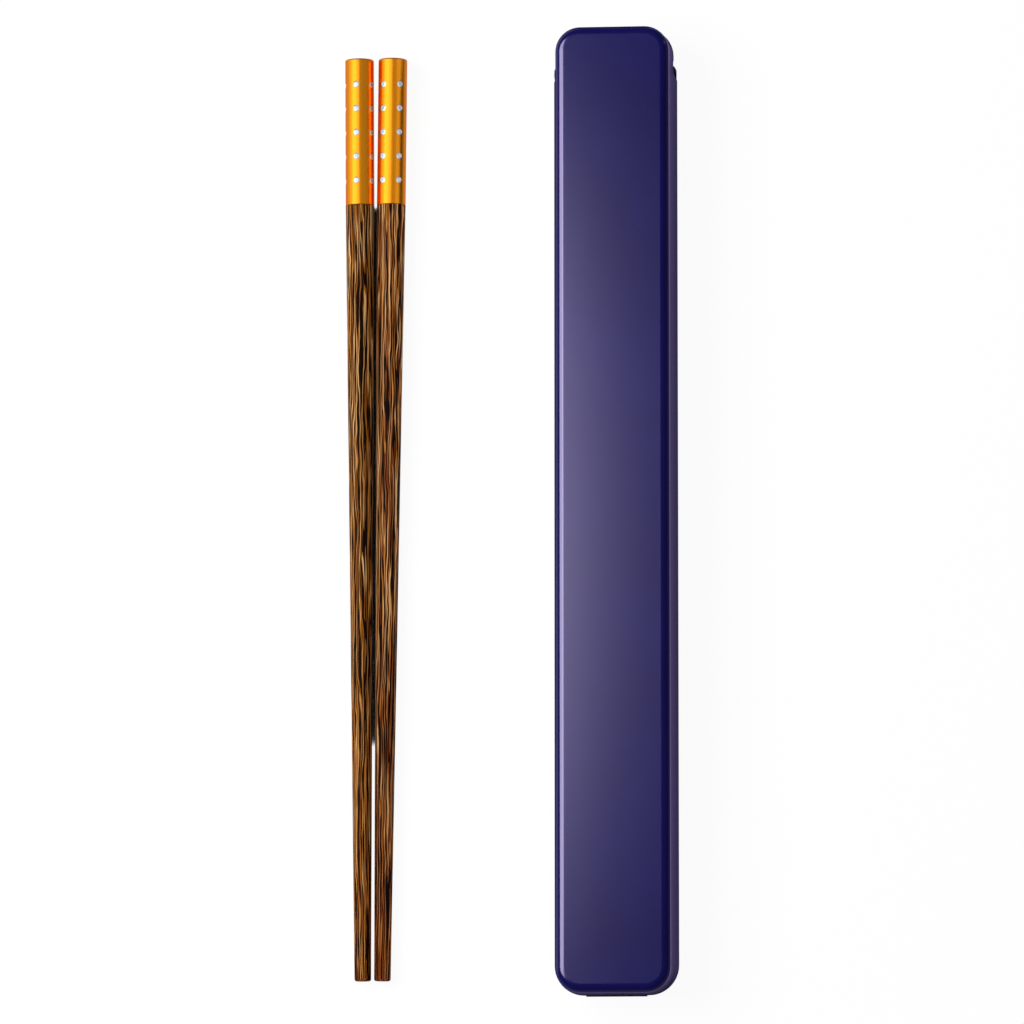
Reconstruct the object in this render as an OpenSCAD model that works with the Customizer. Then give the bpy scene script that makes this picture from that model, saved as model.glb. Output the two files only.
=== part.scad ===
// Portable chopstick case: a moulded tray with a lid that slides off along rails,
// and the pair of chopsticks that it carries, laid beside it.
// Millimetres. +Y points to the end where the chopsticks have their grips, +Z is up,
// and the origin is on the tray's underside, below the middle of the lid.

/* [Chopsticks] */
// Length of a chopstick
stick_length = 225; // [180:1:260]
// Diameter of the grip end
grip_diameter = 7; // [6:0.1:7.5]
// Diameter of the tip
tip_diameter = 4; // [2.5:0.1:5]
// Radius of the edge round the tip
tip_round = 0.5; // [0.2:0.1:0.9]
// Length of the metal sleeve on the grip end
sleeve_length = 36; // [34:1:60]
// Wall of the sleeve
sleeve_wall = 1; // [0.8:0.1:1.4]
// Thickness of the sleeve's closed end
sleeve_end = 1.5; // [1:0.1:3]
// Radius of the edge round the sleeve's closed end
sleeve_round = 0.4; // [0.2:0.1:0.8]
// Bevel on the sleeve's open rim
sleeve_bevel = 0.15; // [0.1:0.05:0.3]
// Room for glue between the sleeve and the shaft's tenon
glue_gap = 0.05; // [0.02:0.01:0.1]

/* [Stones] */
// Diameter of a stone
stone_diameter = 1.6; // [1.2:0.1:1.8]
// Depth of a stone below the sleeve's surface
stone_depth = 0.5; // [0.4:0.05:0.6]
// Height of a stone's crown above its girdle
stone_crown = 0.14; // [0.1:0.01:0.18]
// Diameter of the flat facet on top of a stone
stone_table = 0.9; // [0.6:0.05:1]
// Room round a stone in its pocket
stone_clearance = 0.02; // [0.01:0.01:0.04]
// Rows of stones along a sleeve
stone_rows = 5; // [3:1:5]
// Stones in a row, round a sleeve
stone_columns = 5; // [4:1:6]
// Distance from the sleeve's closed end to the first row
first_row = 6.4; // [4:0.1:7]
// Distance from row to row
row_pitch = 5.9; // [4:0.1:6.4]

/* [Case] */
// Spare length in the tray, past the length of the chopsticks
stick_room = 1.2; // [1:0.1:10]
// Width of the closed case above its flared band
case_width = 27.6; // [25:0.1:40]
// Height of the closed case
case_height = 19; // [18:0.5:26]
// Radius of the case's corners, seen from above
corner_radius = 6; // [5.5:0.1:8]
// Thickness of the tray's walls
tray_wall = 1.2; // [1:0.1:1.6]
// Thickness of the tray's floor
tray_floor = 1.6; // [1.2:0.1:2.4]
// Radius of the tray's edge along its underside
foot_round = 1.2; // [0.8:0.1:1.5]
// Radius inside the tray, between its floor and its walls
floor_round = 1; // [0.5:0.1:1.4]

/* [Lid] */
// Thickness of the lid's top
lid_top = 1.8; // [1.2:0.1:2.4]
// Thickness of the lid's side walls
lid_wall = 1.5; // [1.2:0.1:2]
// Radius of the lid's edge, all round its top
lid_round = 2.1; // [1.5:0.1:2.6]
// Radius inside the lid, between its top and its walls
lid_inner_round = 0.8; // [0.4:0.1:1.2]
// Depth of the lid from its top to the foot of its side walls
lid_depth = 9; // [8:0.1:10]
// How far the lid's band flares out past its side walls
band_flare = 1.2; // [0.8:0.05:1.5]
// How far the band flares out past the wall of the closed end
band_end_flare = 0.1; // [0.05:0.05:0.7]
// Height of the hollow curve that flares the walls out into the band
flare_height = 6.8; // [5:0.1:7.2]
// Height of the upright land along the band's foot
band_land = 0.5; // [0.4:0.05:0.8]
// Radius of the band's lower edge
band_round = 0.3; // [0.2:0.05:0.4]
// Straight wall between the far corners and the start of the band
band_start = 1.7; // [1.5:0.1:8]
// Length over which the band sweeps down to its full depth
band_sweep = 4.3; // [3.8:0.1:8]
// How far above the foot of the walls the sweep's curve begins
sweep_lead = 0.3; // [0.2:0.05:0.4]
// Width of the pull ridge at the foot of the closed end
pull_width = 14.6; // [10:0.2:16]
// How far the pull ridge stands out
pull_reach = 0.25; // [0.2:0.05:0.6]
// Height of the pull ridge
pull_height = 1.6; // [1:0.1:2]

/* [Slide] */
// Thickness of the rails along the tray's rim
rail_thickness = 1.2; // [1:0.1:1.6]
// How far the rails stand out from the tray's walls
rail_reach = 1; // [0.9:0.1:1.4]
// Thickness of the lips that hook under the rails
lip_thickness = 1.2; // [1:0.1:1.6]
// Running clearance between lid and tray
slide_clearance = 0.3; // [0.2:0.05:0.4]
// Thickness of the lid's wall outside the rails' groove
groove_wall = 0.8; // [0.7:0.05:1]
// How far the tray's end flange stands out past the lid's wall
flange_proud = 0.45; // [0.2:0.05:0.6]
// Radius of the end flange's upper edge
flange_round = 0.3; // [0.2:0.05:0.5]
// Gap between the tray's end flange and its stop lugs
flange_gap = 1.2; // [0.8:0.1:1.6]
// How far behind the start of the sweep the stop lugs begin
lug_inset = 1.1; // [0.5:0.1:1.5]
// How far the click bumps stand out from the rails
click_height = 0.2; // [0.1:0.05:0.25]
// Radius of the click bumps
click_radius = 3; // [2:0.5:5]
// Distance from the start of the band to the click bumps
click_inset = 14; // [12:1:30]

/* [Layout] */
// How far the chopsticks lie along the case from its middle
stick_shift = -0.4; // [-10:0.1:10]
// Gap between the case and the nearer chopstick's grip
case_gap = 36.4; // [10:0.1:60]
// Gap between the two grips
grip_gap = 1.2; // [1:0.1:10]
// Gap between the two tips
tip_gap = 0.75; // [0.6:0.05:10]
// How much further from the case the nearer chopstick's tip lies than its grip
stick_lean = 2.4; // [0:0.1:10]
// Turn of the left chopstick's stones, from straight up towards +X
left_turn = -8; // [-36:1:36]
// Turn of the right chopstick's stones, from straight up towards +X
right_turn = -34; // [-36:1:36]

/* [Hidden] */
$fn = 96;

// Cutters reach this far past the faces that they cut
past = 1;
// The flare keeps at least this much root in the wall, and fades into the far wall this far
flare_root = 0.2;
flare_sink = 0.05;

// Distances out from the centres of the case's corners
band_out = corner_radius + band_flare;
flange_out = corner_radius + flange_proud;
groove_out = corner_radius - groove_wall;
rail_out = groove_out - slide_clearance;
tray_out = rail_out - rail_reach;
tray_in = tray_out - tray_wall;
lip_in = tray_out + slide_clearance;
wall_in = corner_radius - lid_wall;
lug_out = band_out - slide_clearance / 2;

// Centres of the corners; the tray and the band share a near pair of their own
end_step = band_flare - band_end_flare;
corner_x = case_width / 2 - corner_radius;
corner_y = (stick_length + stick_room + end_step) / 2 - tray_in;
near_y = corner_y - end_step;

// Heights above the table
wall_foot = case_height - lid_depth;
rim_height = wall_foot - slide_clearance;
rail_foot = rim_height - rail_thickness;
lip_height = rail_foot - slide_clearance;
band_foot = lip_height - lip_thickness;
land_top = band_foot + band_land;
flare_top = land_top + flare_height;

// Flare, upright where it leaves the wall and ending on the band's land; its root in the wall,
// and how far it has come out at the foot of the walls
flare_radius = (band_flare * band_flare + flare_height * flare_height) / (2 * band_flare);
flare_in = min(wall_in + band_flare, corner_radius - flare_root);
foot_drop = flare_top - wall_foot;
foot_flare = flare_radius - sqrt(flare_radius * flare_radius - foot_drop * foot_drop);

// Height through which the band sweeps down
sweep_rise = wall_foot - band_foot + sweep_lead;

// Places along the case
band_tip = corner_y - band_start;
lug_tip = band_tip + slide_clearance;
lug_face = lug_tip - lug_inset;
flange_tip = lug_face + flange_gap;
click_y = band_tip - click_inset;
flare_y = corner_y - foot_flare - flare_sink;

// Chopstick: the shaft's taper, and the tilt that lays it flat on the table
grip_radius = grip_diameter / 2;
tip_radius = tip_diameter / 2;
bore_radius = grip_radius - sleeve_wall;
shaft_length = stick_length - sleeve_length;
tenon_length = sleeve_length - sleeve_end;
lay_tilt = atan((grip_radius - tip_radius) / shaft_length);
lay_height = grip_radius * cos(lay_tilt) + sleeve_length * sin(lay_tilt);

// Where the two chopsticks lie, sideways from the middle of the case
right_grip_x = -(case_width / 2 + band_flare + case_gap + grip_radius);
right_tip_x = right_grip_x - stick_lean;
left_grip_x = right_grip_x - grip_diameter - grip_gap;
left_tip_x = right_tip_x - tip_diameter - tip_gap;

// Area under an arc that leaves [0, rise] level and comes down to [run, 0]
module under_arc(run, rise) {
    arc = (run * run + rise * rise) / (2 * rise);
    intersection() {
        square([run, rise]);
        translate([0, rise - arc]) circle(arc);
    }
}

// Rectangle with its outer upper corner rounded
module round_shouldered(width, foot, top, radius) {
    translate([0, foot]) square([width - radius, top - foot]);
    translate([0, foot]) square([width, top - radius - foot]);
    translate([width - radius, top - radius]) circle(radius);
}

// Profile swept straight from a corner centre; angle 0 runs along -Y on the +X side
module straight_run(start, angle, length) {
    translate([start.x, start.y, 0])
        rotate([0, 0, angle])
            rotate([90, 0, 0]) linear_extrude(length) children();
}

// Profile turned through a quarter round a corner centre
module corner_turn(centre, angle) {
    translate([centre.x, centre.y, 0])
        rotate([0, 0, angle]) rotate_extrude(angle = 90) children();
}

// Profile taken all round the case, between its far and near corner centres
module all_round(near) {
    corner_turn([corner_x, corner_y], 0) children();
    corner_turn([-corner_x, corner_y], 90) children();
    corner_turn([-corner_x, -near], 180) children();
    corner_turn([corner_x, -near], 270) children();
    straight_run([corner_x, corner_y], 0, corner_y + near) children();
    straight_run([-corner_x, corner_y], 90, 2 * corner_x) children();
    straight_run([-corner_x, -near], 180, corner_y + near) children();
    straight_run([corner_x, -near], 270, 2 * corner_x) children();
}

// Plate that fills the middle, between the four corner centres
module middle_plate(near, foot, top) {
    translate([-corner_x, -near, foot])
        cube([2 * corner_x, corner_y + near, top - foot]);
}

// Outline in the side view, with its first axis along -Y from a tip, taken across the case
module across_case(tip, foot, width) {
    translate([width / 2, tip, foot])
        rotate([90, 0, -90]) linear_extrude(width) children();
}

// Both of a pair that stands on the two long sides
module both_sides() {
    children();
    mirror([1, 0, 0]) children();
}

// Tray section outwards from a corner centre: floor, wall and rail
module tray_profile() {
    difference() {
        union() {
            translate([0, foot_round]) square([tray_out, rim_height - foot_round]);
            square([tray_out - foot_round, foot_round]);
            translate([tray_out - foot_round, foot_round]) circle(foot_round);
        }
        translate([-past, tray_floor + floor_round])
            square([tray_in + past, rim_height]);
        translate([-past, tray_floor])
            square([tray_in - floor_round + past, rim_height]);
        translate([tray_in - floor_round, tray_floor + floor_round]) circle(floor_round);
    }
    translate([tray_out, rail_foot]) square([rail_reach, rail_thickness]);
}

// Section of the flange round the tray's far end, below the lid's wall
module end_flange() {
    difference() {
        round_shouldered(flange_out, rail_foot, rim_height, flange_round);
        translate([-past, 0]) square([tray_out + past, case_height]);
    }
}

// Stop lug below a rail's far end: it fills the room ahead of the lid's band, with rounded edges
module stop_lug() {
    lug_round = (lug_out - rail_out) / 2;
    intersection() {
        across_case(lug_tip, band_foot - slide_clearance, case_width + 2 * band_out)
            under_arc(band_sweep, sweep_rise);
        straight_run([corner_x, lug_face], 0, band_sweep)
            difference() {
                round_shouldered(lug_out, band_foot, rim_height, lug_round);
                translate([-past, 0]) square([tray_out + past, case_height]);
            }
        translate([corner_x, lug_face, 0])
            linear_extrude(case_height) round_shouldered(lug_out, -band_sweep, 0, lug_round);
    }
}

// Click bump on a rail, or with extra radius the pocket for it in the lid
module click_bump(extra) {
    translate([corner_x + rail_out + click_height - click_radius, click_y, rail_foot])
        cylinder(r = click_radius + extra, h = rail_thickness);
}

module base_tray() color("#20205a") {
    all_round(near_y) tray_profile();
    middle_plate(near_y, 0, tray_floor);
    corner_turn([corner_x, corner_y], 0) end_flange();
    corner_turn([-corner_x, corner_y], 90) end_flange();
    straight_run([-corner_x, corner_y], 90, 2 * corner_x) end_flange();
    both_sides() {
        straight_run([corner_x, corner_y], 0, corner_y - flange_tip) end_flange();
        stop_lug();
        difference() {
            click_bump(0);
            translate([-past, click_y - 2 * click_radius, 0])
                cube([corner_x + tray_out + past, 4 * click_radius, case_height]);
        }
    }
}

// Lid section outwards from a corner centre: rounded top edge and side wall
module lid_profile() {
    difference() {
        round_shouldered(corner_radius, wall_foot, case_height, lid_round);
        round_shouldered(wall_in, wall_foot - past, case_height - lid_top, lid_inner_round);
    }
}

// Hollow curve of the flare, cut from the skirt and the band
module flare_curve() {
    translate([corner_radius + flare_radius, flare_top]) circle(flare_radius);
}

// Skirt section: the flare on the outside of the wall
module skirt_profile() {
    difference() {
        translate([flare_in, wall_foot]) square([band_out - flare_in, flare_top - wall_foot]);
        flare_curve();
    }
}

// Band section: it goes on down from the skirt, outside the rail's groove
module band_profile() {
    difference() {
        union() {
            translate([0, land_top]) mirror([0, 1]) round_shouldered(band_out, 0, band_land, band_round);
            translate([0, land_top]) square([band_out, wall_foot - land_top]);
        }
        flare_curve();
        translate([-past, 0]) square([groove_out + past, case_height]);
    }
}

// Lip section, hooked under the rail
module lip_profile() {
    translate([lip_in, band_foot]) square([groove_out - lip_in, lip_thickness]);
}

module sliding_lid() color("#232264") {
    all_round(corner_y) lid_profile();
    middle_plate(corner_y, case_height - lid_top, case_height);
    corner_turn([corner_x, flare_y], 0) skirt_profile();
    corner_turn([-corner_x, flare_y], 90) skirt_profile();
    corner_turn([-corner_x, -near_y], 180) skirt_profile();
    corner_turn([corner_x, -near_y], 270) skirt_profile();
    both_sides()
        straight_run([corner_x, flare_y], 0, flare_y + near_y) skirt_profile();
    difference() {
        union() {
            both_sides()
                straight_run([corner_x, band_tip], 0, band_tip + near_y) {
                    band_profile();
                    lip_profile();
                }
            corner_turn([-corner_x, -near_y], 180) band_profile();
            corner_turn([corner_x, -near_y], 270) band_profile();
            straight_run([corner_x, -near_y], 270, 2 * corner_x) band_profile();
        }
        across_case(band_tip, band_foot, case_width + 2 * band_out)
            under_arc(band_sweep, sweep_rise);
        both_sides() click_bump(slide_clearance);
    }
    translate([-pull_width / 2, -near_y - band_out - pull_reach, band_foot])
        cube([pull_width, pull_reach + groove_wall, pull_height]);
}

// Places a chopstick: its axis runs from the grip end towards -Y, and it lies flat on the table
module lay_stick(grip_x, tip_x) {
    translate([grip_x, stick_length / 2 + stick_shift, lay_height])
        rotate([0, 0, asin((tip_x - grip_x) / stick_length)])
            rotate([90 + lay_tilt, 0, 0]) children();
}

module shaft(grip_x, tip_x) color("#3a2010")
    lay_stick(grip_x, tip_x) {
        translate([0, 0, sleeve_length])
            rotate_extrude() {
                difference() {
                    polygon([[0, 0], [grip_radius, 0], [tip_radius, shaft_length], [0, shaft_length]]);
                    translate([tip_radius - tip_round, shaft_length - tip_round])
                        square(tip_round + past);
                }
                intersection() {
                    translate([tip_radius - tip_round, shaft_length - tip_round]) circle(tip_round);
                    translate([0, shaft_length - tip_round]) square([tip_radius, tip_round]);
                }
            }
        translate([0, 0, sleeve_end])
            cylinder(r = bore_radius - glue_gap, h = tenon_length);
    }

// Turns to each stone's place, with +Z pointing out through the sleeve's wall
module each_stone(turn) {
    for (row = [0 : stone_rows - 1])
        for (column = [0 : stone_columns - 1])
            translate([0, 0, first_row + row * row_pitch])
                rotate([0, 0, -turn - column * 360 / stone_columns])
                    rotate([-90, 0, 0]) children();
}

module grip_sleeve(grip_x, tip_x, turn) color("#e0a020")
    lay_stick(grip_x, tip_x)
        difference() {
            rotate_extrude()
                difference() {
                    translate([0, sleeve_length])
                        mirror([0, 1]) round_shouldered(grip_radius, 0, sleeve_length, sleeve_round);
                    translate([0, sleeve_end]) square([bore_radius, sleeve_length]);
                    polygon([[grip_radius - sleeve_bevel, sleeve_length],
                             [grip_radius, sleeve_length],
                             [grip_radius, sleeve_length - sleeve_bevel]]);
                }
            each_stone(turn)
                translate([0, 0, grip_radius - stone_depth])
                    cylinder(d = stone_diameter + 2 * stone_clearance, h = stone_depth + past);
        }

// One stone: a pointed pavilion in the pocket, and a crown with its flat facet flush
module stone() {
    translate([0, 0, grip_radius - stone_depth])
        cylinder(d1 = stone_table / 2, d2 = stone_diameter, h = stone_depth - stone_crown);
    translate([0, 0, grip_radius - stone_crown])
        cylinder(d1 = stone_diameter, d2 = stone_table, h = stone_crown);
}

module stones(grip_x, tip_x, turn) color("#dfe8f5")
    lay_stick(grip_x, tip_x) each_stone(turn) stone();

module left_shaft() shaft(left_grip_x, left_tip_x);
module left_grip_sleeve() grip_sleeve(left_grip_x, left_tip_x, left_turn);
module left_stones() stones(left_grip_x, left_tip_x, left_turn);
module right_shaft() shaft(right_grip_x, right_tip_x);
module right_grip_sleeve() grip_sleeve(right_grip_x, right_tip_x, right_turn);
module right_stones() stones(right_grip_x, right_tip_x, right_turn);

base_tray();
sliding_lid();
left_shaft();
left_grip_sleeve();
left_stones();
right_shaft();
right_grip_sleeve();
right_stones();
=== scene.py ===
import math

import bmesh
import bpy
from mathutils import Euler, Matrix, Vector


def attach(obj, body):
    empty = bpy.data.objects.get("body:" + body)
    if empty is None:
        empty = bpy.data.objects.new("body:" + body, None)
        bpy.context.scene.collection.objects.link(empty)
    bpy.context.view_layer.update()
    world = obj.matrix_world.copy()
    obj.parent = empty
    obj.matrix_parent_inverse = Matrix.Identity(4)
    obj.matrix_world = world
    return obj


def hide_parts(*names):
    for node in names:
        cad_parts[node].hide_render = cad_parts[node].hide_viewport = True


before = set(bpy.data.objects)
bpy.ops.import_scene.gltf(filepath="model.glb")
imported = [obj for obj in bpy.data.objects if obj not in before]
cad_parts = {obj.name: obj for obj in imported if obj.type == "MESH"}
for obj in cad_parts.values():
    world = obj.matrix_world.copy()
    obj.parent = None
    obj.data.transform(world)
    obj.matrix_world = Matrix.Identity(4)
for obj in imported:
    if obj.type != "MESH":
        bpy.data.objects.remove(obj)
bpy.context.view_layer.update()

mm = 0.001
print("frame loaded:", ", ".join(sorted(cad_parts)))


# sRGB hex to the linear RGBA that shaders take
def hexColour(code):
    parts = [int(code[i:i + 2], 16) / 255 for i in (1, 3, 5)]
    return [c / 12.92 if c <= 0.04045 else ((c + 0.055) / 1.055) ** 2.4 for c in parts] + [1.0]


# adds a node, sets its properties and ramp stops, then fills or links its inputs
def addNode(tree, kind, inputs=None, stops=(), **settings):
    node = tree.nodes.new(kind)
    for name, value in settings.items():
        setattr(node, name, value)
    for number, (place, code) in enumerate(stops):
        elements = node.color_ramp.elements
        element = elements[number] if number < len(elements) else elements.new(place)
        element.position = place
        element.color = hexColour(code)
    for name, value in (inputs or {}).items():
        if isinstance(value, bpy.types.NodeSocket):
            tree.links.new(value, node.inputs[name])
        else:
            node.inputs[name].default_value = value
    return node


# sockets of a colour Mix node
mixShare, mixFrom, mixTo, mixed = 0, 6, 7, 2


def newMaterial(name):
    material = bpy.data.materials.new(name)
    material.use_nodes = True
    tree = material.node_tree
    tree.nodes.clear()
    shader = tree.nodes.new("ShaderNodeBsdfPrincipled")
    addNode(tree, "ShaderNodeOutputMaterial", {"Surface": shader.outputs["BSDF"]})
    return material, tree, shader


def dressNode(name, material):
    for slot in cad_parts[name].material_slots:
        slot.material = material


# where each chopstick lies, its axis running from the grip end to the tip, and what its wood looks like:
# grainAt moves its grain through the noise, and tip is the tint of the oiled tip
chopsticks = {
    "left": {"gripX": -63.10 * mm, "tipX": -62.05 * mm, "turn": -8.0, "seed": 4, "grainAt": 12,
             "ground": ("#7A420C", "#AE6A1C", "#C48430"), "tip": "#F0DEC8"},
    "right": {"gripX": -54.90 * mm, "tipX": -57.30 * mm, "turn": -34.0, "seed": 9, "grainAt": 40,
              "ground": ("#74360E", "#A45E2A", "#BC7C42"), "tip": "#D0AC86"},
}
stickSizes = {
    "length": 225 * mm, "shift": -0.4 * mm, "gripRadius": 3.5 * mm, "tipRadius": 2.0 * mm,
    "sleeveLength": 36 * mm,
}


def stickPlace(stick):
    taper = stickSizes["gripRadius"] - stickSizes["tipRadius"]
    tilt = math.atan(taper / (stickSizes["length"] - stickSizes["sleeveLength"]))
    height = stickSizes["gripRadius"] * math.cos(tilt) + stickSizes["sleeveLength"] * math.sin(tilt)
    lean = math.asin((stick["tipX"] - stick["gripX"]) / stickSizes["length"])
    place = Vector((stick["gripX"], stickSizes["length"] / 2 + stickSizes["shift"], height))
    return place, Euler((math.pi / 2 + tilt, 0, lean))


# moulded ABS: deep navy with a faintly uneven dye, polished on top so that the lamp shows soft-edged,
# and satin on the drawn sides, where the mould is textured so that the part lets go
plastic = {"dark": "#07053A", "light": "#0B0943", "tint": "#E0D4FF", "ior": 1.6,
           "gloss": 0.17, "satin": 0.5, "satinTop": 15.2 * mm, "glossFoot": 16.8 * mm,
           "cloud": 24 * mm, "cloudStops": (0.3, 0.7), "grain": 0.5 * mm, "speckle": 0.12,
           "wave": 2.5 * mm, "waveHeight": 0.0012 * mm}


def mouldedAbs():
    material, tree, shader = newMaterial("mouldedAbsNavy")
    place = addNode(tree, "ShaderNodeTexCoord").outputs["Object"]
    cloud = addNode(tree, "ShaderNodeTexNoise", {
        "Vector": place, "Scale": 1 / plastic["cloud"], "Detail": 2.0})
    tint = addNode(tree, "ShaderNodeValToRGB", {"Fac": cloud.outputs["Fac"]},
                   zip(plastic["cloudStops"], (plastic["dark"], plastic["light"])))
    level = addNode(tree, "ShaderNodeSeparateXYZ", {"Vector": place})
    finish = addNode(tree, "ShaderNodeMapRange", {
        "Value": level.outputs["Z"], "From Min": plastic["satinTop"], "From Max": plastic["glossFoot"],
        "To Min": plastic["satin"], "To Max": plastic["gloss"]}, interpolation_type="SMOOTHSTEP")
    grain = addNode(tree, "ShaderNodeTexNoise", {
        "Vector": place, "Scale": 1 / plastic["grain"], "Detail": 2.0})
    speckle = addNode(tree, "ShaderNodeMapRange", {
        "Value": grain.outputs["Fac"],
        "To Min": 1 - plastic["speckle"], "To Max": 1 + plastic["speckle"]})
    rough = addNode(tree, "ShaderNodeMath", {
        0: finish.outputs["Result"], 1: speckle.outputs["Result"]}, operation="MULTIPLY")
    wave = addNode(tree, "ShaderNodeTexNoise", {
        "Vector": place, "Scale": 1 / plastic["wave"], "Detail": 1.0})
    bump = addNode(tree, "ShaderNodeBump", {
        "Height": wave.outputs["Fac"], "Distance": plastic["waveHeight"]})
    tree.links.new(tint.outputs["Color"], shader.inputs["Base Color"])
    tree.links.new(rough.outputs[0], shader.inputs["Roughness"])
    tree.links.new(bump.outputs["Normal"], shader.inputs["Normal"])
    shader.inputs["IOR"].default_value = plastic["ior"]
    shader.inputs["Specular Tint"].default_value = hexColour(plastic["tint"])
    return material


# oiled wenge: brown ground and growth layers cut lengthwise, which show as thin tan and near-black lines
# that wander and merge
wood = {
    "swayWidth": 2.6 * mm, "swayLength": 12 * mm, "sway": 0.26,
    "groundWidth": 0.55 * mm, "groundLength": 26 * mm, "groundStops": (0.38, 0.5, 0.62),
    "darkWidth": 0.34 * mm, "darkLength": 22 * mm, "dark": "#1E0C02", "darkFrom": 0.82, "darkFull": 0.87,
    "lineWidth": 1.3 * mm, "lineLength": 36 * mm, "line": ("#D48C38", "#FFD294"),
    "lineStops": (0.4, 0.6), "lineCore": 0.07, "lineEdge": 0.15,
    "ringPitch": 0.62 * mm, "ringLean": 0.6, "ringBend": 4.2, "ringShade": 1.2,
    "fibreWidth": 0.24 * mm, "fibreLength": 16 * mm,  # real fibres are finer and would not show
    "fibre": ((0.4, "#A48878"), (0.56, "#FFFFFF")), "tipFrom": 0.55,
    "roughness": 0.6, "roughSpread": 0.12, "poreDepth": 0.02 * mm, "specular": 0.06,
}


def oiledWenge(side):
    stick = chopsticks[side]
    material, tree, shader = newMaterial("oiledWenge_" + side)
    origin, turn = stickPlace(stick)
    place = addNode(tree, "ShaderNodeTexCoord").outputs["Object"]
    along = addNode(tree, "ShaderNodeMapping", {
        "Vector": place, "Location": origin, "Rotation": turn}, vector_type="TEXTURE").outputs["Vector"]
    swayPlace = addNode(tree, "ShaderNodeMapping", {
        "Vector": along, "Location": (stick["seed"], 0, 0),
        "Scale": (1 / wood["swayWidth"], 1 / wood["swayWidth"], 1 / wood["swayLength"])})
    sway = addNode(tree, "ShaderNodeTexNoise", {
        "Vector": swayPlace.outputs["Vector"], "Scale": 1.0, "Detail": 2.0})
    swing = addNode(tree, "ShaderNodeMapRange", {
        "Value": sway.outputs["Fac"], "To Min": -wood["sway"], "To Max": wood["sway"]})
    # the streaks sway round the stick, so that they stay in its surface
    grain = addNode(tree, "ShaderNodeVectorRotate", {
        "Vector": along, "Angle": swing.outputs["Result"]}, rotation_type="Z_AXIS").outputs["Vector"]
    fields = {}
    for number, layer in enumerate(("ground", "dark", "line", "fibre")):
        width, length = wood[layer + "Width"], wood[layer + "Length"]
        spread = addNode(tree, "ShaderNodeMapping", {
            "Vector": grain, "Location": (stick["grainAt"] + number * 7, number * 5, 0),
            "Scale": (1 / width, 1 / width, 1 / length)})
        fields[layer] = addNode(tree, "ShaderNodeTexNoise", {
            "Vector": spread.outputs["Vector"], "Scale": 1.0, "Detail": 2.0}).outputs["Fac"]
    ground = addNode(tree, "ShaderNodeValToRGB", {"Fac": fields["ground"]},
                     zip(wood["groundStops"], stick["ground"]))
    lean, pitch = wood["ringLean"], wood["ringPitch"]
    across = (math.cos(lean) / pitch, math.sin(lean) / pitch, 0)
    layers = addNode(tree, "ShaderNodeVectorMath", {0: grain, 1: across}, operation="DOT_PRODUCT")
    rings = addNode(tree, "ShaderNodeMath", {
        0: fields["line"], 1: wood["ringBend"], 2: layers.outputs["Value"]}, operation="MULTIPLY_ADD")
    # 0 on a tan line, rising to a half midway to the next
    ridge = addNode(tree, "ShaderNodeMath", {0: rings.outputs[0], 1: 0.5}, operation="PINGPONG")
    shade = addNode(tree, "ShaderNodeMath", {
        0: ridge.outputs[0], 1: wood["ringShade"], 2: fields["dark"]}, operation="MULTIPLY_ADD")
    darkShare = addNode(tree, "ShaderNodeMapRange", {
        "Value": shade.outputs[0], "From Min": wood["darkFrom"], "From Max": wood["darkFull"]},
        interpolation_type="SMOOTHSTEP")
    streaked = addNode(tree, "ShaderNodeMix", {
        mixShare: darkShare.outputs["Result"], mixFrom: ground.outputs["Color"],
        mixTo: hexColour(wood["dark"])}, data_type="RGBA")
    lineShare = addNode(tree, "ShaderNodeMapRange", {
        "Value": ridge.outputs[0], "From Min": wood["lineCore"], "From Max": wood["lineEdge"],
        "To Min": 1.0, "To Max": 0.0}, interpolation_type="SMOOTHSTEP")
    lineTint = addNode(tree, "ShaderNodeValToRGB", {"Fac": fields["ground"]},
                       zip(wood["lineStops"], wood["line"]))
    lined = addNode(tree, "ShaderNodeMix", {
        mixShare: lineShare.outputs["Result"], mixFrom: streaked.outputs[mixed],
        mixTo: lineTint.outputs["Color"]}, data_type="RGBA")
    fibre = addNode(tree, "ShaderNodeValToRGB", {"Fac": fields["fibre"]}, wood["fibre"])
    tint = addNode(tree, "ShaderNodeMix", {
        mixShare: 1.0, mixFrom: lined.outputs[mixed], mixTo: fibre.outputs["Color"]},
        data_type="RGBA", blend_type="MULTIPLY")
    depth = addNode(tree, "ShaderNodeSeparateXYZ", {"Vector": along})
    toTip = addNode(tree, "ShaderNodeMapRange", {
        "Value": depth.outputs["Z"], "From Max": stickSizes["length"]})
    # the tip drinks more oil
    oil = addNode(tree, "ShaderNodeValToRGB", {"Fac": toTip.outputs["Result"]},
                  [(wood["tipFrom"], "#FFFFFF"), (1.0, stick["tip"])])
    oiled = addNode(tree, "ShaderNodeMix", {
        mixShare: 1.0, mixFrom: tint.outputs[mixed], mixTo: oil.outputs["Color"]},
        data_type="RGBA", blend_type="MULTIPLY")
    rough = addNode(tree, "ShaderNodeMapRange", {
        "Value": fields["fibre"],
        "To Min": wood["roughness"] + wood["roughSpread"],
        "To Max": wood["roughness"] - wood["roughSpread"]})
    bump = addNode(tree, "ShaderNodeBump", {"Height": fields["fibre"], "Distance": wood["poreDepth"]})
    tree.links.new(oiled.outputs[mixed], shader.inputs["Base Color"])
    tree.links.new(rough.outputs["Result"], shader.inputs["Roughness"])
    tree.links.new(bump.outputs["Normal"], shader.inputs["Normal"])
    shader.inputs["Specular IOR Level"].default_value = wood["specular"]
    return material


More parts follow.
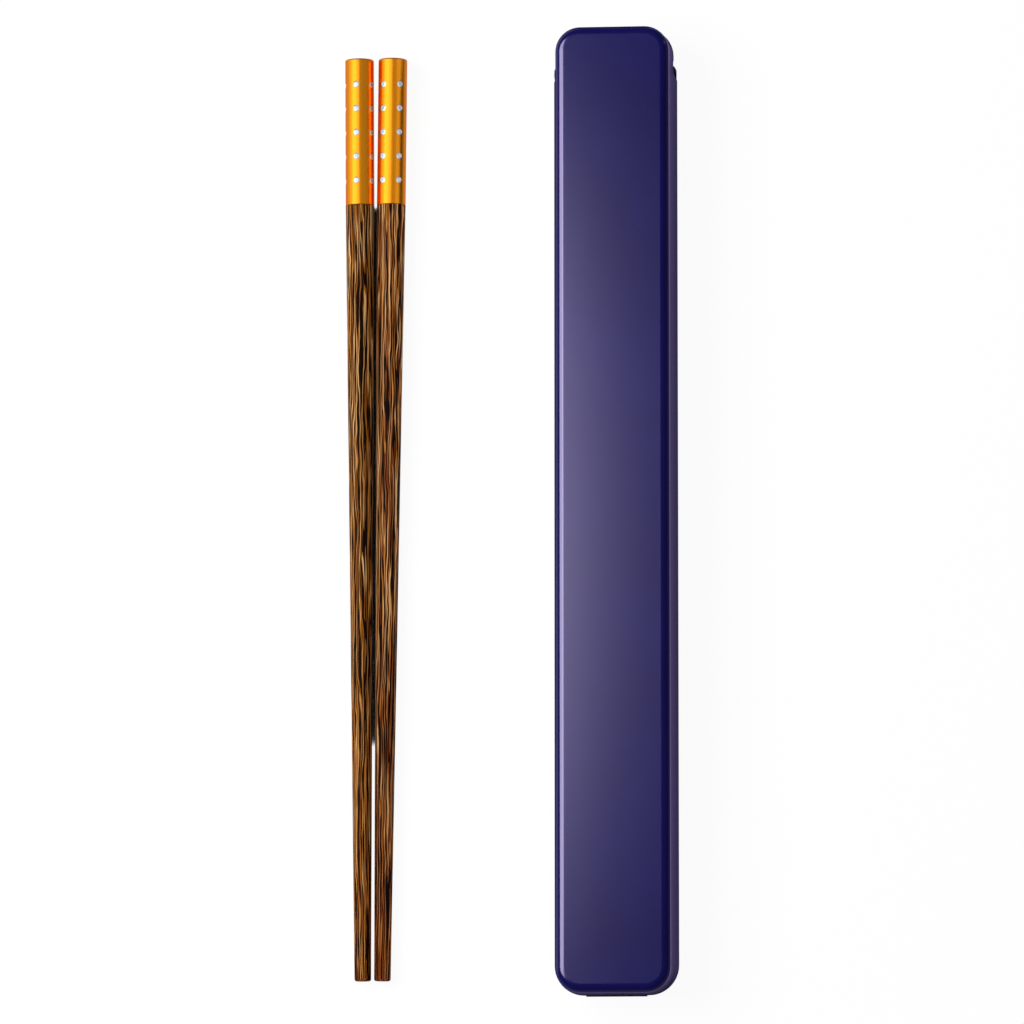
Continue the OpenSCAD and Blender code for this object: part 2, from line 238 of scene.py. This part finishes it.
# gold anodised aluminium: dyed metal under a clear oxide skin, with the die lines of a drawn tube
gold = {"deep": "#F09200", "pale": "#FA9C04", "edge": "#EE9A30",
        "roughness": 0.34, "roughSpread": 0.06, "coat": 0.3, "coatRoughness": 0.2,
        # die lines drawn coarser to show
        "dieWidth": 0.35 * mm, "dieLength": 25 * mm, "dieDepth": 0.002 * mm, "dieStops": (0.35, 0.65)}


def goldAnodised(side):
    material, tree, shader = newMaterial("goldAnodisedAluminium_" + side)
    origin, turn = stickPlace(chopsticks[side])
    place = addNode(tree, "ShaderNodeTexCoord").outputs["Object"]
    along = addNode(tree, "ShaderNodeMapping", {
        "Vector": place, "Location": origin, "Rotation": turn}, vector_type="TEXTURE")
    spread = addNode(tree, "ShaderNodeMapping", {
        "Vector": along.outputs["Vector"],
        "Scale": (1 / gold["dieWidth"], 1 / gold["dieWidth"], 1 / gold["dieLength"])})
    die = addNode(tree, "ShaderNodeTexNoise", {
        "Vector": spread.outputs["Vector"], "Scale": 1.0, "Detail": 2.0})
    tint = addNode(tree, "ShaderNodeValToRGB", {"Fac": die.outputs["Fac"]},
                   zip(gold["dieStops"], (gold["deep"], gold["pale"])))
    rough = addNode(tree, "ShaderNodeMapRange", {
        "Value": die.outputs["Fac"],
        "To Min": gold["roughness"] - gold["roughSpread"],
        "To Max": gold["roughness"] + gold["roughSpread"]})
    bump = addNode(tree, "ShaderNodeBump", {"Height": die.outputs["Fac"], "Distance": gold["dieDepth"]})
    tree.links.new(tint.outputs["Color"], shader.inputs["Base Color"])
    tree.links.new(rough.outputs["Result"], shader.inputs["Roughness"])
    tree.links.new(bump.outputs["Normal"], shader.inputs["Normal"])
    shader.inputs["Metallic"].default_value = 1.0
    shader.inputs["Specular Tint"].default_value = hexColour(gold["edge"])
    shader.inputs["Coat Weight"].default_value = gold["coat"]
    shader.inputs["Coat Roughness"].default_value = gold["coatRoughness"]
    return material


# cut glass on a silver foil, its facets painted with their light: a white crown for painted sparkle, a
# sky-blue table for a painted reflection, and a grey girdle line
glass = {"roughness": 0.08, "roughSpread": 0.03, "ior": 1.55, "foil": 0.35, "speckle": 0.45 * mm,
         "glint": "#F6FAFD",
         "cut": ((0.0, "#6E767C"), (0.2, "#AEB6BC"), (0.4, "#FFFFFF"),
                 (0.7, "#FAFCFE"), (0.85, "#BCD8F2"), (1.0, "#A0C6EE"))}


def foiledGlass():
    material, tree, shader = newMaterial("foiledCutGlass")
    facet = addNode(tree, "ShaderNodeAttribute", attribute_name="facet")
    glint = addNode(tree, "ShaderNodeAttribute", attribute_name="glint")
    place = addNode(tree, "ShaderNodeTexCoord").outputs["Object"]
    speckle = addNode(tree, "ShaderNodeTexNoise", {
        "Vector": place, "Scale": 1 / glass["speckle"], "Detail": 1.0})
    # each facet's painted light, from its place on the ramp
    cut = addNode(tree, "ShaderNodeValToRGB", {"Fac": facet.outputs["Fac"]}, glass["cut"])
    glinting = addNode(tree, "ShaderNodeMath", {
        0: glint.outputs["Fac"], 1: speckle.outputs["Fac"]}, operation="MULTIPLY")
    # a painted glint: random stones, speckled, are whitened towards the glint colour
    tint = addNode(tree, "ShaderNodeMix", {
        mixShare: glinting.outputs[0], mixFrom: cut.outputs["Color"], mixTo: hexColour(glass["glint"])},
        data_type="RGBA")
    rough = addNode(tree, "ShaderNodeMapRange", {
        "Value": speckle.outputs["Fac"],
        "To Min": glass["roughness"] - glass["roughSpread"],
        "To Max": glass["roughness"] + glass["roughSpread"]})
    tree.links.new(tint.outputs[mixed], shader.inputs["Base Color"])
    tree.links.new(rough.outputs["Result"], shader.inputs["Roughness"])
    shader.inputs["Metallic"].default_value = glass["foil"]
    shader.inputs["IOR"].default_value = glass["ior"]
    return material


moulding = mouldedAbs()
dressNode("sliding_lid", moulding)
dressNode("base_tray", moulding)
for side in chopsticks:
    dressNode(side + "_shaft", oiledWenge(side))
    dressNode(side + "_grip_sleeve", goldAnodised(side))
print("mouldings, wood and metal dressed")

# one cut stone, with its flat table at z = 0 and its point below
stoneCut = {"sides": 8, "girdle": 0.79 * mm, "table": 0.45 * mm, "waist": 0.63 * mm, "waistDrop": 0.06 * mm,
            "crown": 0.14 * mm, "band": 0.03 * mm, "depth": 0.49 * mm}
# where each kind of facet falls on the glass's ramp of painted light: the table's painted blue reflection,
# the crown's painted white sparkle
paintedFacetLight = {"table": 1.0, "star": 0.7, "kite": 0.5, "upperHalves": (0.4, 0.45),
             "girdle": 0.0, "pavilion": 0.2}


def ringOf(mesh, count, radius, height, start=0.0):
    steps = [start + math.tau * k / count for k in range(count)]
    return [mesh.verts.new((radius * math.cos(t), radius * math.sin(t), height)) for t in steps]


def cutStone():
    cut = bmesh.new()
    sides = stoneCut["sides"]
    corners = 2 * sides
    table = ringOf(cut, sides, stoneCut["table"], 0)
    waist = ringOf(cut, sides, stoneCut["waist"], -stoneCut["waistDrop"], math.pi / sides)
    girdle = ringOf(cut, corners, stoneCut["girdle"], -stoneCut["crown"])
    foot = ringOf(cut, corners, stoneCut["girdle"], -stoneCut["crown"] - stoneCut["band"])
    point = cut.verts.new((0, 0, -stoneCut["depth"]))
    firstHalf, secondHalf = paintedFacetLight["upperHalves"]
    facets = [(table, paintedFacetLight["table"])]
    for k in range(sides):
        facets.append(((table[k], waist[k], table[(k + 1) % sides]), paintedFacetLight["star"]))
        facets.append(((table[k], waist[k - 1], girdle[2 * k], waist[k]), paintedFacetLight["kite"]))
        facets.append(((waist[k], girdle[2 * k], girdle[2 * k + 1]), firstHalf))
        facets.append(((waist[k], girdle[2 * k + 1], girdle[(2 * k + 2) % corners]), secondHalf))
    for k in range(corners):
        after = (k + 1) % corners
        facets.append(((girdle[k], foot[k], foot[after], girdle[after]), paintedFacetLight["girdle"]))
        facets.append(((foot[k], point, foot[after]), paintedFacetLight["pavilion"]))
    for outline, tone in facets:
        cut.faces.new(outline)
    mesh = bpy.data.meshes.new("cutStone")
    cut.to_mesh(mesh)
    cut.free()
    tones = [tone for outline, tone in facets]
    mesh.attributes.new("facet", "FLOAT", "FACE").data.foreach_set("value", tones)
    return bpy.data.objects.new("cutStone", mesh)


# sets stones in rows round a sleeve whose axis is Z
def settingTree():
    tree = bpy.data.node_groups.new("stoneSetting", "GeometryNodeTree")
    for name, kind in (("Stone", "Object"), ("Rows", "Int"), ("Columns", "Int"), ("First Row", "Float"),
                       ("Pitch", "Float"), ("Radius", "Float"), ("Turn", "Float"), ("Seed", "Int"),
                       ("Material", "Material")):
        tree.interface.new_socket(name, in_out="INPUT", socket_type="NodeSocket" + kind)
    tree.interface.new_socket("Geometry", in_out="OUTPUT", socket_type="NodeSocketGeometry")
    asked = addNode(tree, "NodeGroupInput").outputs
    number = addNode(tree, "GeometryNodeInputIndex").outputs[0]
    count = addNode(tree, "ShaderNodeMath", {0: asked["Rows"], 1: asked["Columns"]}, operation="MULTIPLY")
    points = addNode(tree, "GeometryNodePoints", {"Count": count.outputs[0]})
    share = addNode(tree, "ShaderNodeMath", {0: number, 1: asked["Columns"]}, operation="DIVIDE")
    row = addNode(tree, "ShaderNodeMath", {0: share.outputs[0]}, operation="FLOOR")
    part = addNode(tree, "ShaderNodeMath", {0: share.outputs[0]}, operation="FRACT")
    angle = addNode(tree, "ShaderNodeMath", {0: part.outputs[0], 1: math.tau, 2: asked["Turn"]},
                    operation="MULTIPLY_ADD")
    height = addNode(tree, "ShaderNodeMath", {0: row.outputs[0], 1: asked["Pitch"], 2: asked["First Row"]},
                     operation="MULTIPLY_ADD")
    sine = addNode(tree, "ShaderNodeMath", {0: angle.outputs[0]}, operation="SINE")
    cosine = addNode(tree, "ShaderNodeMath", {0: angle.outputs[0]}, operation="COSINE")
    outward = addNode(tree, "ShaderNodeCombineXYZ", {"X": sine.outputs[0], "Y": cosine.outputs[0]})
    level = addNode(tree, "ShaderNodeCombineXYZ", {"Z": height.outputs[0]})
    ringed = addNode(tree, "ShaderNodeVectorMath", {"Vector": outward.outputs[0], "Scale": asked["Radius"]},
                     operation="SCALE")
    seat = addNode(tree, "ShaderNodeVectorMath", {0: ringed.outputs[0], 1: level.outputs[0]}, operation="ADD")
    placed = addNode(tree, "GeometryNodeSetPosition", {
        "Geometry": points.outputs[0], "Position": seat.outputs[0]})
    facing = addNode(tree, "FunctionNodeAlignRotationToVector", {"Vector": outward.outputs[0]}, axis="Z")
    # 2 and 3 are the least and most of a decimal, and 8 is the seed
    chance = addNode(tree, "FunctionNodeRandomValue", {2: 0.0, 3: 1.0, 8: asked["Seed"]}, data_type="FLOAT")
    spin = addNode(tree, "ShaderNodeMath", {0: chance.outputs[1], 1: math.tau}, operation="MULTIPLY")
    twist = addNode(tree, "FunctionNodeAxisAngleToRotation", {"Axis": (0, 0, 1), "Angle": spin.outputs[0]})
    turned = addNode(tree, "FunctionNodeRotateRotation", {
        "Rotation": facing.outputs[0], "Rotate By": twist.outputs[0]}, rotation_space="LOCAL")
    stone = addNode(tree, "GeometryNodeObjectInfo", {"Object": asked["Stone"]})
    stones = addNode(tree, "GeometryNodeInstanceOnPoints", {
        "Points": placed.outputs[0], "Instance": stone.outputs["Geometry"], "Rotation": turned.outputs[0]})
    # a random share of painted glint for each stone
    marked = addNode(tree, "GeometryNodeStoreNamedAttribute", {
        "Geometry": stones.outputs[0], "Name": "glint", "Value": chance.outputs[1]},
        data_type="FLOAT", domain="INSTANCE")
    real = addNode(tree, "GeometryNodeRealizeInstances", {"Geometry": marked.outputs[0]})
    clad = addNode(tree, "GeometryNodeSetMaterial", {
        "Geometry": real.outputs[0], "Material": asked["Material"]})
    addNode(tree, "NodeGroupOutput", {"Geometry": clad.outputs[0]})
    return tree


setting = {"Rows": 5, "Columns": 5, "First Row": 6.4 * mm, "Pitch": 5.9 * mm,
           "Radius": stickSizes["gripRadius"]}
setting["Stone"] = cutStone()
setting["Material"] = foiledGlass()
tree = settingTree()
pieces = {}
for side, stick in chopsticks.items():
    stones = bpy.data.objects.new(side + "_cut_stones", bpy.data.meshes.new(side + "_cut_stones"))
    bpy.context.scene.collection.objects.link(stones)
    modifier = stones.modifiers.new("setting", "NODES")
    modifier.node_group = tree
    asked = dict(setting, Turn=math.radians(stick["turn"]), Seed=stick["seed"])
    for socket in tree.interface.items_tree:
        if socket.in_out == "INPUT":
            modifier[socket.identifier] = asked[socket.name]
    made = bpy.data.meshes.new_from_object(stones.evaluated_get(bpy.context.evaluated_depsgraph_get()))
    stones.modifiers.clear()
    stones.data = made
    place, turn = stickPlace(stick)
    made.transform(Matrix.Translation(place) @ turn.to_matrix().to_4x4())
    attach(stones, side + "_chopstick")
    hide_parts(side + "_stones")
    pieces[side] = stones
    print(side, "stones set:", len(made.polygons), "facets")
bpy.data.objects.remove(setting["Stone"])

# floor: white paper, seen white by the camera with a faint shadow, and with painted shade in the narrow gap
# between the shafts, where ambient occlusion darkens it; gloss sees a painted reflection on it, pale under
# the chopsticks, dark at the case's left and violet at its right and near end
paper = {"side": 6.0, "drop": 0.2 * mm, "colour": "#F4F4F4", "paintedShade": "#101010",
         "seen": "#FFFFFF", "seenWhite": 0.95, "samples": 16, "fullShadeTo": 0.28, "openFrom": 0.44,
         "gapFrom": -75 * mm, "gapTo": 85 * mm, "gapReach": 6 * mm, "openReach": 0.4 * mm,
         "gap": ((0.10, "#000000"), (0.17, "#FFFFFF"), (0.925, "#FFFFFF"), (0.96, "#000000")),
         # where the painted reflection runs across the floor and at the near end, and its tones
         "reflectionFrom": -60 * mm, "reflectionTo": 40 * mm,
         "paintedReflection": ((0.14, "#E0E0E0"), (0.32, "#444444"), (0.68, "#444448"), (0.77, "#B09CE0"),
                  (0.85, "#B09CE0"), (0.93, "#6A5C90")),
         "endFrom": -112 * mm, "endTo": -120 * mm, "endReflection": "#746C96"}
floorMesh = bpy.data.meshes.new("floor")
half = paper["side"] / 2
floorMesh.from_pydata([(-half, -half, -paper["drop"]), (half, -half, -paper["drop"]),
                       (half, half, -paper["drop"]), (-half, half, -paper["drop"])], [], [(0, 1, 2, 3)])
floor = bpy.data.objects.new("floor", floorMesh)
bpy.context.scene.collection.objects.link(floor)
floorPaper = bpy.data.materials.new("whitePaper")
floorPaper.use_nodes = True
tree = floorPaper.node_tree
tree.nodes.clear()
ray = addNode(tree, "ShaderNodeLightPath")
mirrored = addNode(tree, "ShaderNodeMath", {
    0: ray.outputs["Is Glossy Ray"], 1: ray.outputs["Is Transmission Ray"]}, operation="MAXIMUM")
spot = addNode(tree, "ShaderNodeTexCoord").outputs["Object"]
where = addNode(tree, "ShaderNodeSeparateXYZ", {"Vector": spot})
# painted reflection, seen by gloss alone: pale under the chopsticks, dark at the case's left, violet at its
# right and near end
across = addNode(tree, "ShaderNodeMapRange", {
    "Value": where.outputs["X"], "From Min": paper["reflectionFrom"], "From Max": paper["reflectionTo"]})
sideReflection = addNode(tree, "ShaderNodeValToRGB", {"Fac": across.outputs["Result"]}, paper["paintedReflection"])
atEnd = addNode(tree, "ShaderNodeMapRange", {
    "Value": where.outputs["Y"], "From Min": paper["endFrom"], "From Max": paper["endTo"]})
paintedReflection = addNode(tree, "ShaderNodeMix", {
    mixShare: atEnd.outputs["Result"], mixFrom: sideReflection.outputs["Color"],
    mixTo: hexColour(paper["endReflection"])}, data_type="RGBA")
seen = addNode(tree, "ShaderNodeMix", {
    mixShare: mirrored.outputs[0], mixFrom: hexColour(paper["seen"]), mixTo: paintedReflection.outputs[mixed]},
    data_type="RGBA")
glow = addNode(tree, "ShaderNodeEmission", {"Color": seen.outputs[mixed], "Strength": 1.0})
# painted shade: ambient occlusion reaches far between the shafts and only to contact lines elsewhere; where
# the paper is occluded it is painted dark and loses its white glow
along = addNode(tree, "ShaderNodeMapRange", {
    "Value": where.outputs["Y"], "From Min": paper["gapFrom"], "From Max": paper["gapTo"]})
gap = addNode(tree, "ShaderNodeValToRGB", {"Fac": along.outputs["Result"]}, paper["gap"])
reach = addNode(tree, "ShaderNodeMapRange", {
    "Value": gap.outputs["Color"], "To Min": paper["openReach"], "To Max": paper["gapReach"]})
paintedShade = addNode(tree, "ShaderNodeAmbientOcclusion", {"Distance": reach.outputs["Result"]},
                 samples=paper["samples"])
openShare = addNode(tree, "ShaderNodeMapRange", {
    "Value": paintedShade.outputs["AO"], "From Min": paper["fullShadeTo"], "From Max": paper["openFrom"],
    "To Max": paper["seenWhite"]}, interpolation_type="SMOOTHSTEP")
shaded = addNode(tree, "ShaderNodeMix", {
    mixShare: openShare.outputs["Result"], mixFrom: hexColour(paper["paintedShade"]),
    mixTo: hexColour(paper["colour"])}, data_type="RGBA")
matt = addNode(tree, "ShaderNodeBsdfDiffuse", {"Color": shaded.outputs[mixed]})
share = addNode(tree, "ShaderNodeMath", {
    0: ray.outputs["Is Camera Ray"], 1: openShare.outputs["Result"], 2: mirrored.outputs[0]},
    operation="MULTIPLY_ADD")
mix = addNode(tree, "ShaderNodeMixShader", {0: share.outputs[0], 1: matt.outputs[0], 2: glow.outputs[0]})
addNode(tree, "ShaderNodeOutputMaterial", {"Surface": mix.outputs[0]})
floorMesh.materials.append(floorPaper)

# faint white all round, so that no side is lost in black
surround = {"colour": "#FFFFFF", "strength": 0.06}
world = bpy.data.worlds.new("surround")
world.use_nodes = True
world.node_tree.nodes.clear()
back = addNode(world.node_tree, "ShaderNodeBackground", {
    "Color": hexColour(surround["colour"]), "Strength": surround["strength"]})
addNode(world.node_tree, "ShaderNodeOutputWorld", {"Surface": back.outputs[0]})
bpy.context.scene.world = world


def lookAlong(obj, place, aim, up):
    zAxis = (place - aim).normalized()
    xAxis = up.cross(zAxis).normalized()
    yAxis = zAxis.cross(xAxis)
    obj.matrix_world = Matrix.Translation(place) @ Matrix((xAxis, yAxis, zAxis)).transposed().to_4x4()


# softboxes: the case and the chopsticks have their own, as if shot one after the other
wattsPerRadiance = 4  # an area lamp's radiance is its watts over four times its area
caseAim, stickAim = (0, 0, 0.02), (-0.059, 0, 0.004)
softboxes = {
    "caseKey": {"lights": "case", "place": (-0.554, 0.13, 0.729), "aim": caseAim, "across": 0.69,
                "along": 0.85, "radiance": 7.6, "shape": "ELLIPSE"},
    "caseGlow": {"lights": "mouldings", "place": (-0.112, 0.043, 0.42), "aim": (-0.112, 0.043, 0),
                 "across": 0.12, "along": 0.32, "radiance": 6.2, "shape": "ELLIPSE"},
    "caseRim": {"lights": "case", "place": (0.85, 0.60, 0.04), "aim": caseAim, "across": 0.5,
                "along": 0.12, "radiance": 1.2, "shape": "ELLIPSE"},
    "stickKey": {"lights": "sticks", "place": (-0.652, 0.05, 0.68), "aim": stickAim, "across": 0.62,
                 "along": 1.0, "radiance": 2.0, "shape": "RECTANGLE"},
    "stickLow": {"lights": "sticks", "place": (-0.924, 0.05, 0.236), "aim": stickAim, "across": 0.46,
                 "along": 1.2, "radiance": 0.75, "shape": "RECTANGLE"},
    "stickTop": {"lights": "sticks", "place": (-0.215, 0.05, 0.89), "aim": stickAim, "across": 0.38,
                 "along": 1.0, "radiance": 1.3, "shape": "RECTANGLE"},
    "stickFill": {"lights": "sticks", "place": (0.588, 0, 0.582), "aim": stickAim, "across": 1.57,
                  "along": 1.2, "radiance": 0.30, "shape": "RECTANGLE"},
    "rightFill": {"lights": "right", "place": (0.75, 0, 0.364), "aim": stickAim, "across": 0.98,
                  "along": 1.2, "radiance": 0.36, "shape": "RECTANGLE"},
}
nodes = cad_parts
sticks = {side: [nodes[side + "_shaft"], nodes[side + "_grip_sleeve"], stones]
          for side, stones in pieces.items()}
mouldings = [nodes["sliding_lid"], nodes["base_tray"]]
lit = {"mouldings": mouldings, "case": mouldings + [floor],
       "sticks": sticks["left"] + sticks["right"], "right": sticks["right"]}
groups = {}
for name, members in lit.items():
    groups[name] = bpy.data.collections.new(name + "Lit")
    for member in members:
        groups[name].objects.link(member)
for name, box in softboxes.items():
    data = bpy.data.lights.new(name, "AREA")
    data.shape = box["shape"]
    data.size = box["across"]
    data.size_y = box["along"]
    area = box["across"] * box["along"] * (math.pi / 4 if box["shape"] == "ELLIPSE" else 1)
    data.energy = wattsPerRadiance * area * box["radiance"]
    lamp = bpy.data.objects.new(name, data)
    bpy.context.scene.collection.objects.link(lamp)
    lookAlong(lamp, Vector(box["place"]), Vector(box["aim"]), Vector((0, 1, 0)))
    lamp.light_linking.receiver_collection = groups[box["lights"]]

# camera: a long lens almost straight above, fitted to the photograph's edges
view = {"lens": 300.0, "sensor": 36.0, "clip": 20.0, "far": 2.0612, "sideways": 5.80, "towards": 6.86,
        "target": (-25.05 * mm, -0.22 * mm, 10 * mm)}
cameraData = bpy.data.cameras.new("camera")
cameraData.lens = view["lens"]
cameraData.sensor_width = view["sensor"]
cameraData.clip_end = view["clip"]
camera = bpy.data.objects.new("camera", cameraData)
bpy.context.scene.collection.objects.link(camera)
target = Vector(view["target"])
sideways, towards = (math.tan(math.radians(view[way])) for way in ("sideways", "towards"))
line = Vector((sideways, -towards, 1)).normalized()
lookAlong(camera, target + line * view["far"], target, Vector((0, 1, 0)))
bpy.context.scene.camera = camera
bpy.context.scene.view_settings.view_transform = "Standard"
print("studio and camera set")
